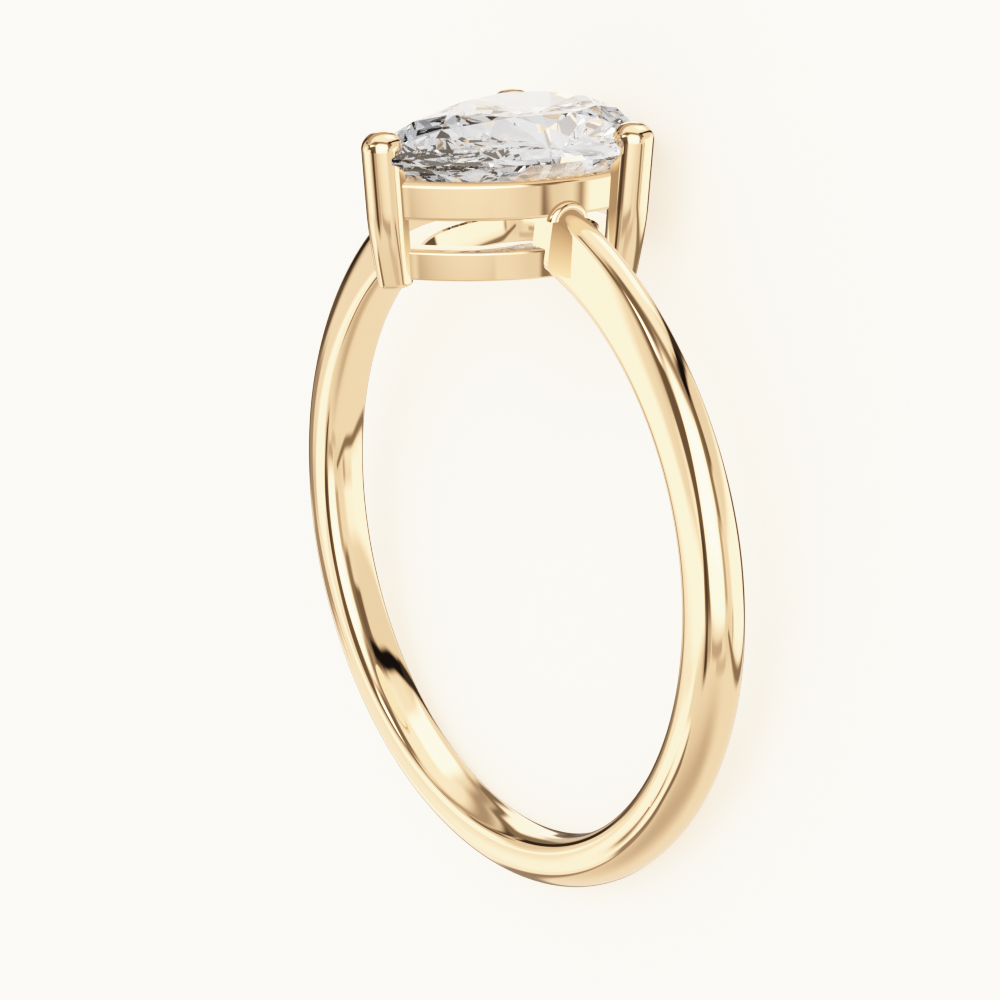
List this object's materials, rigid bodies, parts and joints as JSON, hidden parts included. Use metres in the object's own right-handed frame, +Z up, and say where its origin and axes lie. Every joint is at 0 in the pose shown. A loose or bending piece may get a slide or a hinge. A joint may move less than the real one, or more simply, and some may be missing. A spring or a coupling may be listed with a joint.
{
  "type": "solitaire engagement ring",
  "caption": "Yellow gold solitaire ring lying on its side, a pear cut diamond in a prong basket of two pear shaped rails on a slim domed band.",
  "frame": {"origin": "middle of the finger hole", "axes": "+Z up from the surface the ring lies on, +Y from the middle of the hole towards the stone, +X along the width of the stone"},
  "size_m": [0.019, 0.0213, 0.0082],
  "materials": {
    "gold": "mirror polished yellow gold",
    "diamond": "clear polished facets"
  },
  "bodies": {
    "root": {"gold_mounting": "gold", "pear_diamond": "diamond"}
  },
  "joints": []
}
